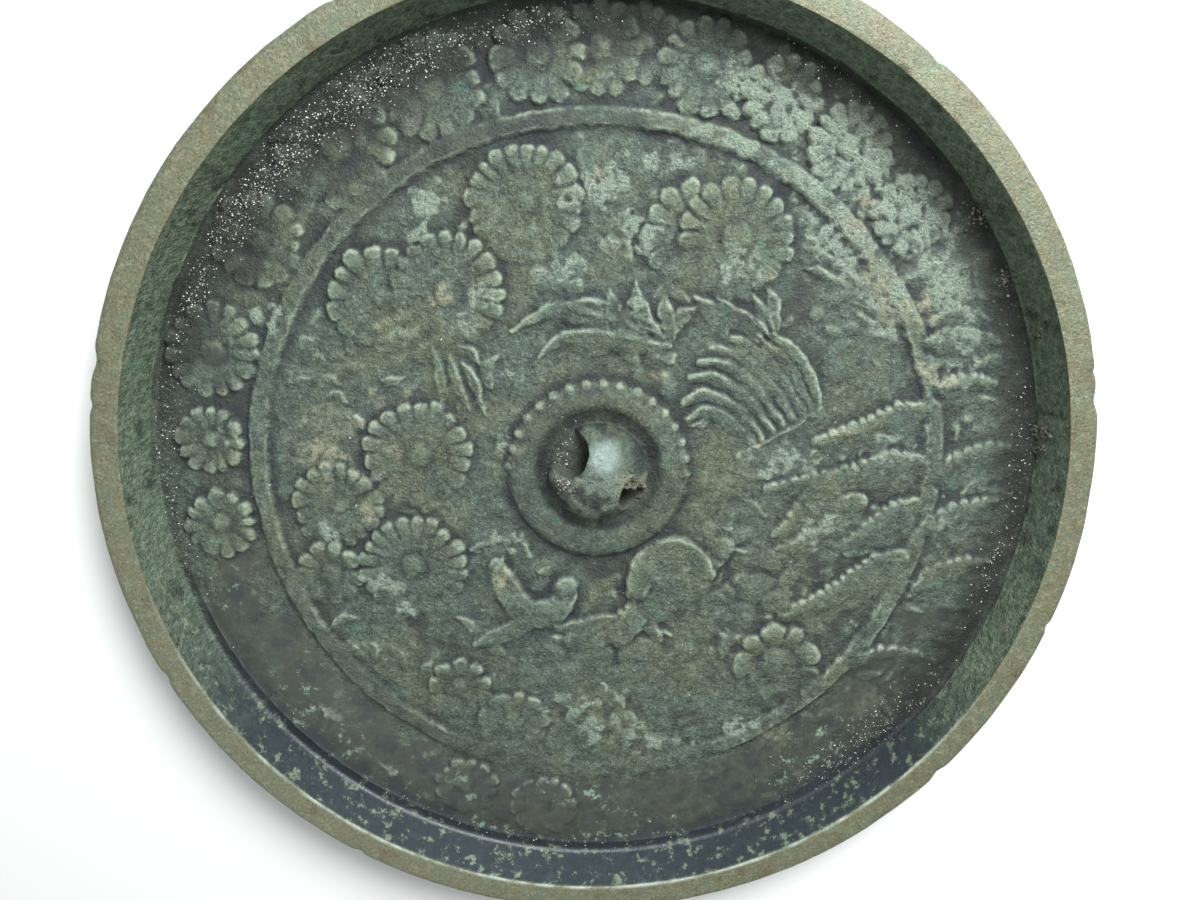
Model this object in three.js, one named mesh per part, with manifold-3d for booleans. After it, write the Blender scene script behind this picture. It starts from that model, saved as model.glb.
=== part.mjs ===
// Round cast bronze mirror, lying on its polished face with the decorated back up.
// Millimetres, +Z up, origin at the middle of the flat reflecting face.
// The casting is one piece: plate, rim, inner ring, pierced knob on its flower seat, and the relief.
import * as THREE from 'three';
import { mergeVertices } from 'three/addons/utils/BufferGeometryUtils.js';
import Module from 'manifold-3d';

const wasm = await Module();
wasm.setup();

// Plate and rim
const MIRROR_RADIUS = 56;
const PLATE_THICKNESS = 1.8;
const RIM_RISE = 5;
const LIP_WIDTH = 3.4;
const WALL_LEAN = 1.5;
const WALL_COVE = 0.6;
const LIP_ROUND = 0.8;
const FACE_EDGE_CHAMFER = 0.4;

// Outer band of flowers inside the rim, and the ring that parts it from the inner field
const BAND_WIDTH = 10.25;
const RING_WIDTH = 2.3;
const RING_RISE = 0.9;

// Knob in the middle and the hole for its cord
const KNOB_RADIUS = 5.7;
const KNOB_CROWN = 0.95;
const CORD_HOLE_DIAMETER = 2.6;
const CORD_HOLE_FLOOR = 0.4;
const CORD_HOLE_TURN = -28;
const CORD_MOUTH_FLARE = 0.7;

// Seat round the knob, with a moat inside it and a beaded edge like a small flower
const MOAT_WIDTH = 1.7;
const MOAT_RISE = 0.25;
const SEAT_WIDTH = 3.2;
const SEAT_RISE = 0.85;
const SEAT_LEAN = 0.35;
const SEAT_BEADS = 32;
const BEAD_LENGTH = 1.1;
const BEAD_NOTCH = 0.3;

// Heights of the relief above the field
const FLOWER_RISE = 1;
const LEAF_RISE = 0.8;
const FENCE_RISE = 0.75;
const FERN_RISE = 0.7;
const BIRD_RISE = 1.1;
const PEBBLE_RISE = 0.7;

// How deep each added form is set into the casting below it
const SINK = 0.5;
// How fine the round forms are
const ROUND_SEGMENTS = 60;
const KNOB_SEGMENTS = 24;

const FIELD = PLATE_THICKNESS;
const RIM_TOP = PLATE_THICKNESS + RIM_RISE;
const WALL_FOOT_RADIUS = MIRROR_RADIUS - LIP_WIDTH - WALL_LEAN - WALL_COVE;
const BAND_START = WALL_FOOT_RADIUS - BAND_WIDTH;
const FIELD_RADIUS = BAND_START - RING_WIDTH;
const MOAT_RADIUS = KNOB_RADIUS + MOAT_WIDTH;
const SEAT_RADIUS = MOAT_RADIUS + SEAT_WIDTH;
const CORD_HOLE_HEIGHT = MOAT_RISE + CORD_HOLE_FLOOR + CORD_HOLE_DIAMETER / 2;
const KNOB_RISE = CORD_HOLE_HEIGHT + CORD_HOLE_DIAMETER / 2 + KNOB_CROWN;
const HUNDREDTH = FIELD_RADIUS / 100;
const DEGREES = Math.PI / 180;

// The picture in the inner field is drawn in hundredths of the field's radius,
// and the one in the outer band in degrees round and shares of the band's width.
function inField(x, y) {
  return new THREE.Vector2(x, y).multiplyScalar(HUNDREDTH);
}

function inBand(degrees, across) {
  const reach = BAND_START + across * BAND_WIDTH;
  return new THREE.Vector2(Math.cos(degrees * DEGREES), Math.sin(degrees * DEGREES)).multiplyScalar(reach);
}

function toSolid(geometry) {
  const bare = geometry.index ? geometry.clone() : mergeVertices(geometry);
  bare.deleteAttribute('normal');
  bare.deleteAttribute('uv');
  const merged = mergeVertices(bare, 1e-5);
  const corners = merged.index.array;
  const kept = [];
  for (let i = 0; i < corners.length; i += 3) {
    const [a, b, c] = [corners[i], corners[i + 1], corners[i + 2]];
    if (a !== b && b !== c && c !== a) kept.push(a, b, c);
  }
  const vertProperties = new Float32Array(merged.attributes.position.array);
  return new wasm.Manifold(new wasm.Mesh({ numProp: 3, vertProperties, triVerts: new Uint32Array(kept) }));
}

function toGeometry(solid) {
  const mesh = solid.getMesh();
  const geometry = new THREE.BufferGeometry();
  geometry.setAttribute('position', new THREE.BufferAttribute(new Float32Array(mesh.vertProperties), 3));
  geometry.setIndex(new THREE.BufferAttribute(new Uint32Array(mesh.triVerts), 1));
  geometry.computeVertexNormals();
  return geometry;
}

// Moves every vertex of a geometry to the place that move(point) gives.
function reshape(geometry, move) {
  const position = geometry.attributes.position;
  const point = new THREE.Vector3();
  for (let i = 0; i < position.count; i += 1) {
    point.fromBufferAttribute(position, i);
    move(point);
    position.setXYZ(i, point.x, point.y, point.z);
  }
  return geometry;
}

// A turned form about +Z from [radius, height] pairs, listed up the outside.
function turned(pairs, segments) {
  const profile = pairs.map(([radius, height]) => new THREE.Vector2(radius, height));
  return new THREE.LatheGeometry(profile, segments).rotateX(Math.PI / 2);
}

// Cuts the edge of a turned form into lobes: every second corner is drawn in and lowered.
function lobed(geometry, lobes, startRadius, notch, groove) {
  return reshape(geometry, (point) => {
    const radius = Math.hypot(point.x, point.y);
    if (radius < startRadius) return;
    const turn = Math.atan2(point.x, -point.y);
    const dip = (1 - Math.cos(lobes * turn)) / 2;
    const scale = 1 - (dip * notch) / radius;
    point.x *= scale;
    point.y *= scale;
    if (point.z > 0) point.z -= dip * groove;
  });
}

function dish() {
  const lipEdge = MIRROR_RADIUS - LIP_ROUND;
  const slant = LIP_ROUND * Math.SQRT1_2;
  return turned([
    [0, 0],
    [MIRROR_RADIUS - FACE_EDGE_CHAMFER, 0],
    [MIRROR_RADIUS, FACE_EDGE_CHAMFER],
    [MIRROR_RADIUS, RIM_TOP - LIP_ROUND],
    [lipEdge + slant, RIM_TOP - LIP_ROUND + slant],
    [lipEdge, RIM_TOP],
    [MIRROR_RADIUS - LIP_WIDTH, RIM_TOP],
    [WALL_FOOT_RADIUS + WALL_COVE, FIELD + WALL_COVE],
    [WALL_FOOT_RADIUS, FIELD],
    [0, FIELD],
  ], ROUND_SEGMENTS);
}

function innerRing() {
  const crest = FIELD_RADIUS + RING_WIDTH / 2;
  const shoulder = 0.3 * RING_WIDTH;
  return turned([
    [BAND_START, -SINK],
    [BAND_START, 0],
    [crest + shoulder, 0.8 * RING_RISE],
    [crest, RING_RISE],
    [crest - shoulder, 0.8 * RING_RISE],
    [FIELD_RADIUS, 0],
    [FIELD_RADIUS, -SINK],
    [BAND_START, -SINK],
  ], ROUND_SEGMENTS);
}

function seat() {
  const form = turned([
    [0, -SINK],
    [SEAT_RADIUS, -SINK],
    [SEAT_RADIUS, 0],
    [SEAT_RADIUS - 0.25 * BEAD_LENGTH, SEAT_RISE],
    [SEAT_RADIUS - BEAD_LENGTH, 0.8 * SEAT_RISE],
    [MOAT_RADIUS, 0.9 * SEAT_RISE],
    [MOAT_RADIUS - SEAT_LEAN, MOAT_RISE],
    [0, MOAT_RISE],
  ], 2 * SEAT_BEADS);
  return lobed(form, SEAT_BEADS, SEAT_RADIUS - 0.5 * BEAD_LENGTH, BEAD_NOTCH, 0.4 * SEAT_RISE);
}

function knob() {
  const points = [[0, -SINK], [KNOB_RADIUS, -SINK], [KNOB_RADIUS, MOAT_RISE]];
  const domeRise = KNOB_RISE - MOAT_RISE;
  for (const degrees of [26, 50, 72]) {
    const turn = degrees * DEGREES;
    points.push([KNOB_RADIUS * Math.cos(turn), MOAT_RISE + domeRise * Math.sin(turn)]);
  }
  points.push([0, KNOB_RISE]);
  return turned(points, KNOB_SEGMENTS);
}

// The hole runs level through the knob and widens where the cord has worn its mouths.
function cordHole() {
  const length = 2 * KNOB_RADIUS;
  const bore = new THREE.CylinderGeometry(1, 1, length, 12, 4).rotateZ(Math.PI / 2);
  reshape(bore, (point) => {
    const flare = CORD_MOUTH_FLARE * (Math.abs(point.x) / KNOB_RADIUS) ** 2;
    const radius = CORD_HOLE_DIAMETER / 2 + flare;
    point.y *= radius;
    point.z *= CORD_HOLE_DIAMETER / 2;
  });
  return bore.rotateZ(CORD_HOLE_TURN * DEGREES).translate(0, 0, FIELD + CORD_HOLE_HEIGHT);
}

// An open chrysanthemum seen from above: petals fall to a dished middle with a small boss in it.
// The block has the same outline and clears the room that the flower takes from those behind it.
function flower(place, radius, petals) {
  const head = turned([
    [0, -SINK],
    [radius, -SINK],
    [radius, 0],
    [0.88 * radius, FLOWER_RISE],
    [0.27 * radius, 0.4 * FLOWER_RISE],
    [0, 0.95 * FLOWER_RISE],
  ], 2 * petals);
  const block = turned([
    [0, -2 * SINK],
    [radius, -2 * SINK],
    [radius, 2 * FLOWER_RISE],
    [0, 2 * FLOWER_RISE],
  ], 2 * petals);
  lobed(head, petals, 0.6 * radius, 0.08 * radius, 0.4 * FLOWER_RISE);
  lobed(block, petals, 0.6 * radius, 0.08 * radius, 0);
  return [head, block].map((form) => toSolid(form.translate(place.x, place.y, FIELD)));
}

// Joins flowers in the order given, each one lying over those before it.
function bunch(flowers) {
  let [joined] = flowers[0];
  for (const [head, block] of flowers.slice(1)) joined = joined.subtract(block).add(head);
  return joined;
}

// A ridge along a bowed line, swelling and tapering like a leaf, half sunk in the field.
function blade(from, to, { width, bow = 0, rise = LEAF_RISE, blunt = 0.2, sides = 4, steps = 3 }) {
  const along = to.clone().sub(from);
  const across = new THREE.Vector2(-along.y, along.x);
  const control = from.clone().add(to).multiplyScalar(0.5).addScaledVector(across, 2 * bow);
  const line = new THREE.QuadraticBezierCurve(from, control, to);
  const form = new THREE.CylinderGeometry(1, 1, 1, sides, steps).rotateX(Math.PI / 2);
  return reshape(form, (point) => {
    const share = point.z + 0.5;
    const swell = blunt + (1 - blunt) * Math.sin(Math.PI * (0.1 + 0.8 * share));
    const centre = line.getPoint(share);
    const side = line.getTangent(share);
    const offset = -point.x * swell * width / 2;
    const height = point.y < 0 ? -point.y * swell * rise : -point.y * SINK;
    point.set(centre.x - side.y * offset, centre.y + side.x * offset, FIELD + height);
  });
}

// A fern frond: a flat tapering leaf with rounded teeth down both sides, from its stalk to its tip.
function fern(from, to, width, teeth = 5) {
  const length = from.distanceTo(to);
  const half = (share) => (width / 2) * (1 - 0.75 * share ** 1.5);
  const edge = [];
  for (let i = 0; i < teeth; i += 1) {
    const notch = i / teeth;
    const crest = (i + 0.75) / teeth;
    edge.push(new THREE.Vector2(notch * length, 0.5 * half(notch)));
    edge.push(new THREE.Vector2(crest * length, half(crest)));
  }
  const otherEdge = edge.map((point) => new THREE.Vector2(point.x, -point.y));
  const outline = new THREE.Shape([...otherEdge, new THREE.Vector2(length, 0), ...edge.reverse()]);
  const plate = new THREE.ExtrudeGeometry(outline, { depth: SINK + FERN_RISE, bevelEnabled: false });
  reshape(plate, (point) => {
    if (point.z > SINK) point.z -= 0.5 * FERN_RISE * Math.abs(point.y) / (width / 2);
  });
  plate.rotateZ(Math.atan2(to.y - from.y, to.x - from.x));
  return plate.translate(from.x, from.y, FIELD - SINK);
}

// A low rounded lump, such as a bud, a pebble or a bird's head.
function lump(place, radius, rise) {
  return turned([
    [0, -SINK],
    [radius, -SINK],
    [radius, 0],
    [0.75 * radius, 0.75 * rise],
    [0, rise],
  ], 8).translate(place.x, place.y, FIELD);
}

// A small bird drawn along +X in shares of its own length, then turned and placed.
function bird(place, { length, turn, wing, tail }) {
  const spot = (x, y) => new THREE.Vector2(x, y)
    .multiplyScalar(length)
    .rotateAround(new THREE.Vector2(), turn * DEGREES)
    .add(place);
  const body = { width: 0.46 * length, bow: 0.1, rise: BIRD_RISE, blunt: 0.3, sides: 6, steps: 4 };
  const beak = { width: 0.1 * length, rise: 0.7 * BIRD_RISE, steps: 2 };
  return [
    blade(spot(-0.5, -0.08), spot(0.36, 0.04), body),
    lump(spot(0.46, 0.06), 0.17 * length, BIRD_RISE),
    blade(spot(0.54, 0.06), spot(0.74, 0.02), beak),
    blade(spot(-0.36, -0.06), spot(...tail), { width: 0.18 * length, bow: -0.08, rise: 0.6 * BIRD_RISE }),
    blade(spot(0.02, 0.04), spot(...wing), { width: 0.3 * length, bow: 0.1, rise: 0.9 * BIRD_RISE }),
  ];
}

// Flowers of the inner field: place, radius in hundredths of the field's radius, petals.
function innerFlowers() {
  return [
    [-21, 79, 17, 20],
    [-63, 52, 16, 16],
    [-44, 54, 17, 20],
    [28, 70, 16, 15],
    [40, 69, 17, 18],
    [-80, -11, 14, 16],
    [-84, -33, 11, 9],
    [-55, 5, 17, 18],
    [-58, -31, 17, 20],
    [58, -66, 15, 11],
    [-45, -73, 11, 9],
    [-28, -86, 12, 9],
    [1, -86, 12, 9],
  ].map(([x, y, radius, petals]) => flower(inField(x, y), radius * HUNDREDTH, petals));
}

// Flowers of the outer band: degrees round, share across, radius as a share of the width, petals.
function bandFlowers() {
  return [
    [145, 0.5, 0.42, 12],
    [128, 0.5, 0.47, 12],
    [113, 0.5, 0.49, 14],
    [97.5, 0.5, 0.42, 12],
    [90, 0.53, 0.4, 12],
    [75.5, 0.5, 0.44, 12],
    [64.5, 0.48, 0.38, 10],
    [53, 0.46, 0.4, 12],
    [40, 0.44, 0.38, 10],
    [162, 0.5, 0.47, 14],
    [175, 0.42, 0.35, 9],
    [188, 0.42, 0.38, 9],
    [248, 0.42, 0.36, 9],
    [261, 0.45, 0.38, 9],
  ].map(([degrees, across, radius, petals]) => flower(inBand(degrees, across), radius * BAND_WIDTH, petals));
}

// Long leaves that reach left and up from the foot of the fence, and pointed ones to its right.
function leaves() {
  return [
    [20, 41, -12, 48, 4.5, -0.14],
    [18, 39, -26, 42, 4.5, -0.12],
    [21, 37, -17, 34, 4.5, -0.1],
    [14, 41, 4, 52, 3.5, 0.1],
    [18, 41, 13, 53, 3.5, 0.1],
    [24, 41, 20, 53, 3.5, 0.1],
    [29, 53, 52, 38, 5, 0.1],
    [31, 48, 38, 40, 3, 0.1],
    [46, 53, 52, 41, 3, 0],
    [51, 56, 54, 43, 3, 0],
    [-48, 35, -38, 19, 4, 0.12],
    [-42, 35, -34, 22, 4, 0.12],
    [-62, 31, -55, 38, 5, 0],
    [-12, -53, 7, -45, 6, -0.1],
  ].map(([x1, y1, x2, y2, width, bow]) => {
    return blade(inField(x1, y1), inField(x2, y2), { width: width * HUNDREDTH, bow });
  });
}

// The brushwood fence: ridges that fan out from a bowed top and end side by side on one line.
function fence(ridges = 8) {
  const top = new THREE.CubicBezierCurve(inField(31, 15), inField(24, 30), inField(38, 41), inField(58, 38));
  const footStart = inField(49, 5);
  const footEnd = inField(68, 19);
  const width = footStart.distanceTo(footEnd) / (ridges - 1);
  const forms = [];
  for (let i = 0; i < ridges; i += 1) {
    const share = i / (ridges - 1);
    const foot = footStart.clone().lerp(footEnd, share);
    const bow = 0.14 * (1 - share);
    forms.push(blade(top.getPoint(share), foot, { width: 0.95 * width, bow, rise: FENCE_RISE }));
  }
  return forms;
}

function ferns() {
  return [
    fern(inField(95, 19), inField(71, 11), 10 * HUNDREDTH),
    fern(inField(96, 1), inField(56, -6), 11 * HUNDREDTH, 7),
    fern(inField(94, -13), inField(76, -24), 10 * HUNDREDTH, 4),
    fern(inField(76, -11), inField(58, -24), 9 * HUNDREDTH, 4),
    fern(inField(88, -30), inField(63, -45), 10 * HUNDREDTH),
    fern(inBand(-2, 0.02), inBand(3, 0.72), 0.38 * BAND_WIDTH, 4),
    fern(inBand(-11, 0.05), inBand(-5, 0.65), 0.38 * BAND_WIDTH, 4),
    fern(inBand(-21, 0.15), inBand(-14, 0.75), 0.35 * BAND_WIDTH, 4),
    fern(inBand(21, 0.02), inBand(18, 0.7), 0.32 * BAND_WIDTH, 4),
    fern(inBand(13, 0.02), inBand(12.5, 0.6), 0.3 * BAND_WIDTH, 4),
  ];
}

function birds() {
  return [
    bird(inField(25, -34), { length: 36 * HUNDREDTH, turn: 30, wing: [-0.42, -0.24], tail: [-0.8, -0.16] }),
    bird(inField(-19, -46), { length: 24 * HUNDREDTH, turn: 24, wing: [-0.1, 0.85], tail: [-1.22, 0.46] }),
  ].flat();
}

// A bud beside the fence, rounded leaves below the birds and a heap of small ones by the ferns.
function lumps() {
  return [
    [74, 33, 7],
    [-3, -62, 8],
    [14, -66, 11],
    [46, -29, 5],
    [55, -29, 5],
    [50, -39, 6],
    [57, -44, 5],
    [45, -48, 5],
    [36, -44, 5],
    [34, -53, 5],
  ].map(([x, y, radius]) => lump(inField(x, y), radius * HUNDREDTH, PEBBLE_RISE));
}

function casting() {
  const onField = (geometry) => geometry.translate(0, 0, FIELD);
  const turnedForms = [onField(innerRing()), onField(seat()), onField(knob())];
  const carved = [...leaves(), ...fence(), ...ferns(), ...birds(), ...lumps()];
  let solid = toSolid(dish()).add(bunch(innerFlowers())).add(bunch(bandFlowers()));
  for (const form of [...turnedForms, ...carved]) solid = solid.add(toSolid(form));
  return toGeometry(solid.subtract(toSolid(cordHole())));
}

const bronze = new THREE.MeshStandardMaterial({ color: '#3b4536', roughness: 0.62, metalness: 0.55 });

const mirror = new THREE.Mesh(casting(), bronze);
mirror.name = 'mirror';

const group = new THREE.Group();
group.add(mirror);

export default group;
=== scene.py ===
# Round cast bronze mirror, lying on its polished face with the worn, patinated back up.
# The back is one casting: its profile is turned, and a map of the relief then moves its points.
from math import cos, degrees, hypot, pi, radians, sin

import bmesh
import bpy
import numpy as np
from mathutils import Euler, Matrix, Vector
from mathutils.bvhtree import BVHTree


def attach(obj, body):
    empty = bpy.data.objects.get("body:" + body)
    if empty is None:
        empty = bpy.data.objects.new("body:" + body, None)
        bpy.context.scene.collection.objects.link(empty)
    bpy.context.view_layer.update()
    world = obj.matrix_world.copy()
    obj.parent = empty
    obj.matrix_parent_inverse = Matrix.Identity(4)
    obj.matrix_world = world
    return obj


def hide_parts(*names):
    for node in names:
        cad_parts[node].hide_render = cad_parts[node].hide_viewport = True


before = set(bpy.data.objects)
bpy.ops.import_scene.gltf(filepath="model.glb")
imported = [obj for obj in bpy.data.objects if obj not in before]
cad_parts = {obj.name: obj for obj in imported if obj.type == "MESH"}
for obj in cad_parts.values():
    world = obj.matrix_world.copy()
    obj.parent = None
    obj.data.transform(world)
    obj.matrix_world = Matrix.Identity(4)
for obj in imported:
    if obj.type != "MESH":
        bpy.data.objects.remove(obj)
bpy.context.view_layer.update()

# Sizes are millimetres until a mesh is written. Lamps and camera are placed in metres.
MM = 0.001

# The casting from the rim inward, with the same values as the solid. The field is the top of the plate.
MIRROR_RADIUS = 56
FIELD = 1.8
RIM_TOP = FIELD + 5
LIP_WIDTH = 3.4
LIP_INNER = MIRROR_RADIUS - LIP_WIDTH
LIP_ROUND = 0.8
FACE_EDGE_CHAMFER = 0.4
WALL_WIDTH = 2.1
WALL_FOOT = LIP_INNER - WALL_WIDTH
BAND_WIDTH = 10.25
BAND_START = WALL_FOOT - BAND_WIDTH
RING_WIDTH = 2.3
RING_RISE = 0.9
FIELD_RADIUS = BAND_START - RING_WIDTH
HUNDREDTH = FIELD_RADIUS / 100
KNOB_RADIUS = 5.7
KNOB_RISE = 4.2
MOAT_RISE = 0.25
MOAT_RADIUS = 7.4
SEAT_RADIUS = 10.6
SEAT_RISE = 0.85
SEAT_BEADS = 32
CORD_HOLE_HEIGHT = 1.95
CORD_HOLE_TURN = -28

# The worn cove at the wall's foot is a little wider than the solid's.
WALL_COVE = 0.75
# The lip's inner edge is rounded this much.
LIP_INNER_ROUND = 0.15
# The surface lies this far inside the solid's, so that bumps don't leave its box.
SKIN = 0.04
# Points round the axis as turned, and the triangles left before the cord hole is cut
TURNING_STEPS = 1200
CASTING_TRIANGLES = 196000

# The relief map: a square sheet of heights over the field
CELL = 0.1
COUNT = 1152
SPAN = CELL * (COUNT - 1) / 2
AXIS = np.linspace(-SPAN, SPAN, COUNT)
EAST, NORTH = np.meshgrid(AXIS, AXIS)
REACH = np.hypot(EAST, NORTH)
BEARING = np.degrees(np.arctan2(NORTH, EAST))
WAVES_NORTH = np.fft.fftfreq(COUNT)[:, None]
WAVES_EAST = np.fft.rfftfreq(COUNT)[None, :]


def ramp(low, high, value):
    """0 below low, 1 above high, and a smooth rise between them."""
    share = np.clip((value - low) / (high - low), 0, 1)
    return share * share * (3 - 2 * share)


def hump(offset, width, power=2):
    """1 where there is no offset, falling away past this width."""
    return np.exp(-(offset / width) ** power)


def dome(out, flat=2, steep=0.5):
    """1 in the middle, 0 from out = 1 on, with a flatter top or steeper sides as these powers say."""
    return np.clip(1 - out ** flat, 0, 1) ** steep


def blur(sheet, width):
    """The sheet softened over about width millimetres."""
    spread = 2 * (pi * width / CELL) ** 2
    soften = np.exp(-spread * (WAVES_NORTH ** 2 + WAVES_EAST ** 2))
    return np.fft.irfft2(np.fft.rfft2(sheet) * soften, s=sheet.shape)


def grain(width, seed):
    """Smooth noise of strength one, with bumps about three times width across."""
    sheet = blur(np.random.default_rng(seed).standard_normal((COUNT, COUNT)), width)
    return sheet / sheet.std()


def read_map(sheet, x, y):
    """The sheet's value at each point, in millimetres."""
    column = np.clip((x + SPAN) / CELL, 0, COUNT - 1.001)
    row = np.clip((y + SPAN) / CELL, 0, COUNT - 1.001)
    left, low = column.astype(int), row.astype(int)
    right_share, high_share = column - left, row - low
    lower, upper = (sheet[line, left] * (1 - right_share) + sheet[line, left + 1] * right_share
                    for line in (low, low + 1))
    return lower * (1 - high_share) + upper * high_share


# The picture in the inner field is drawn in hundredths of the field's radius,
# and the one in the outer band in degrees round and shares of the band's width.
def in_field(*place):
    return np.array(place) * HUNDREDTH


def all_in_field(*places):
    return [in_field(*place) for place in places]


def in_band(turn, across):
    reach = BAND_START + across * BAND_WIDTH
    return np.array([cos(radians(turn)), sin(radians(turn))]) * reach


def around(places, reach):
    """The part of the map within reach of these places, and its coordinates."""
    low = np.min(places, axis=0) - reach
    high = np.max(places, axis=0) + reach
    first = np.clip(((low + SPAN) / CELL).astype(int), 0, COUNT)
    last = np.clip(((high + SPAN) / CELL).astype(int) + 2, 0, COUNT)
    part = np.s_[first[1]:last[1], first[0]:last[0]]
    return part, EAST[part], NORTH[part]


def curve(places, steps=5):
    """A smooth line through the places."""
    ends = [2 * places[0] - places[1], *places, 2 * places[-1] - places[-2]]
    line = []
    for before, start, end, after in zip(ends, ends[1:], ends[2:], ends[3:]):
        for share in np.arange(steps) / steps:
            line.append(0.5 * (
                2 * start + (end - before) * share
                + (2 * before - 5 * start + 4 * end - after) * share ** 2
                + (3 * start - before - 3 * end + after) * share ** 3))
    return [*line, places[-1]]


def uphill(east, north):
    """How far a point lies up the picture and a little right, the side where edges are still crisp."""
    return 0.25 * east + 0.97 * north


def along_and_across(east, north, turn):
    """A point's place in the axes of a form that is turned this many degrees."""
    c, s = cos(radians(turn)), sin(radians(turn))
    return east * c + north * s, north * c - east * s


def flower(relief, place, radius, petals, seed, boss=0.22, rise=0.72, fade=0.65):
    """An open chrysanthemum from above: finger-tipped petals round a low dished middle with a boss."""
    part, x, y = around([place], 1.25 * radius)
    chance = np.random.default_rng(seed)
    east, north = x - place[0], y - place[1]
    reach = np.hypot(east, north)
    bearing = np.arctan2(north, east)
    turn = bearing / (2 * pi) * petals + chance.random()
    turn += 0.1 * np.sin(2 * bearing + chance.uniform(0, 6)) + 0.08 * np.sin(5 * bearing)
    petal = np.round(turn).astype(int)
    across = 2 * (turn - petal)
    length = radius * (1 + 0.05 * chance.uniform(-1, 1, petals + 2))[petal % petals]
    half_width = pi * radius / petals
    edge = length - 0.8 * half_width * (1 - dome(across))
    outward = reach / length
    # The flower is dished, with grooves between petals that deepen outward, and a boss in a ring
    form = 0.55 + 0.45 * ramp(0.4, 0.8, outward)
    form *= 1 - np.abs(across) ** 8 * (0.35 + 0.55 * ramp(0.35, 0.75, outward))
    boss_radius = boss * radius
    form += 0.45 * dome(reach / boss_radius)
    form -= 0.2 * hump(reach - 1.15 * boss_radius, 0.4)
    kept = 1 - fade * ramp(-0.3, 0.9, -north / radius)
    cover = ramp(-0.06, 0.14, edge - reach)
    trench = 0.16 * kept * hump(reach - edge - 0.2, 0.32) * (1 - cover)
    relief[part] = relief[part] * (1 - cover) + rise * kept * form * cover - trench


def beside(line, x, y):
    """For each point of the map its share along the line, its distance and its offset from it."""
    nearest = np.full(x.shape, 99.0)
    share, east, north = np.zeros((3, *x.shape))
    for step, (start, end) in enumerate(zip(line, line[1:])):
        way = end - start
        along = ((x - start[0]) * way[0] + (y - start[1]) * way[1]) / max(way @ way, 1e-9)
        along = np.clip(along, 0, 1)
        off_east = x - start[0] - along * way[0]
        off_north = y - start[1] - along * way[1]
        distance = np.hypot(off_east, off_north)
        nearer = distance < nearest
        nearest = np.where(nearer, distance, nearest)
        east = np.where(nearer, off_east, east)
        north = np.where(nearer, off_north, north)
        share = np.where(nearer, (step + along) / (len(line) - 1), share)
    return share, nearest, east, north


def stroke(relief, places, width, rise, blunt=0.3, tip=0.15, vein=0.0, tilt=0.35, cut=False):
    """A leaf, blade or feather along a line, its top tilted down from its crisp upper edge.

    When cut is set, it is a groove as deep as rise.
    """
    line = curve([np.asarray(place, float) for place in places])
    part, x, y = around(line, width / 2 + 0.6)
    share, distance, east, north = beside(line, x, y)
    half = width / 2 * np.interp(share, [0, 0.2, 0.6, 1], [blunt, 0.85, 1, tip])
    out = distance / half
    if cut:
        relief[part] -= rise * dome(out, 2, 1)
        return
    upward = np.clip(1.1 - tilt + tilt * uphill(east, north) / half, 0, 1)
    form = rise * upward * ramp(1.05, 0.8, out)
    form -= vein * rise * hump(distance, 0.16) * (out < 0.8)
    trench = 0.12 * hump(distance - half - 0.15, 0.22) * (out > 1) * ramp(0, 0.3, rise)
    relief[part] = np.maximum(relief[part] - trench, form)


def oval(relief, place, length, width, turn, rise):
    """A low lump, petal or leaf with a flat top, steep on its crisp side and gentle on its worn one."""
    part, x, y = around([place], 0.65 * max(length, width))
    east, north = x - place[0], y - place[1]
    along, across = along_and_across(east, north, turn)
    out = np.hypot(along / (length / 2), across / (width / 2))
    crisp = 0.45 + 0.55 * ramp(-0.6, 0.5, uphill(east, north) / (np.hypot(east, north) + 1e-6))
    form = rise * (crisp * dome(out, 4) + (1 - crisp) * dome(out, 1, 0.8))
    cover = ramp(1.04, 0.92, out)
    trench = 0.1 * hump(out - 1.1, 0.1)
    relief[part] = np.maximum(relief[part] * (1 - cover) - trench, form)


def frond(relief, stalk, tip, width, lobes, bow=0.05, rise=0.62):
    """A fern frond: a low leaf that narrows to its tip, its upper edge cut into small rounded lobes."""
    way = tip - stalk
    middle = (stalk + tip) / 2 + bow * np.array([-way[1], way[0]])
    line = curve([stalk, middle, tip])
    part, x, y = around(line, 0.6 * width)
    share, distance, east, north = beside(line, x, y)
    half = width / 2 * (1 - 0.6 * share ** 2) * (0.6 + 0.4 * ramp(0, 0.15, share))
    upward = uphill(east, north) / half
    turn = 0.95 * lobes * (share - 0.3 * distance / hypot(*way))
    across = 2 * (turn - np.round(turn))
    edge = half * (1 - 0.22 * (1 - dome(across)))
    grooves = 0.6 * np.abs(across) ** 4 * ramp(0.2, 0.8, upward)
    form = (0.55 + 0.45 * ramp(-0.8, 0.8, upward)) * (1 - grooves)
    kept = 0.3 + 0.7 * ramp(-0.8, 0.2, upward)
    cover = ramp(-0.08, 0.15, edge - distance)
    trench = 0.14 * kept * hump(distance - edge - 0.15, 0.25) * (1 - cover)
    relief[part] = np.maximum(relief[part] * (1 - cover), rise * kept * form * cover) - trench


# Flowers of the inner field: place, radius in hundredths of the field's radius, petals, boss.
# Each one lies over those before it.
FIELD_FLOWERS = [
    (-21, 79, 17, 20, 0.2), (-63, 52, 16, 15, 0.2), (-44, 54, 17, 19, 0.22), (28, 70, 16, 13, 0.25),
    (40, 69, 17, 18, 0.28), (-80, -11, 14, 16, 0.2), (-84, -33, 11, 9, 0.3), (-55, 5, 17, 18, 0.24),
    (-58, -31, 17, 20, 0.24), (58, -66, 15, 9, 0.4), (-45, -73, 11, 9, 0.3), (-28, -86, 12, 9, 0.3),
    (1, -86, 12, 9, 0.3),
]

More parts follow.
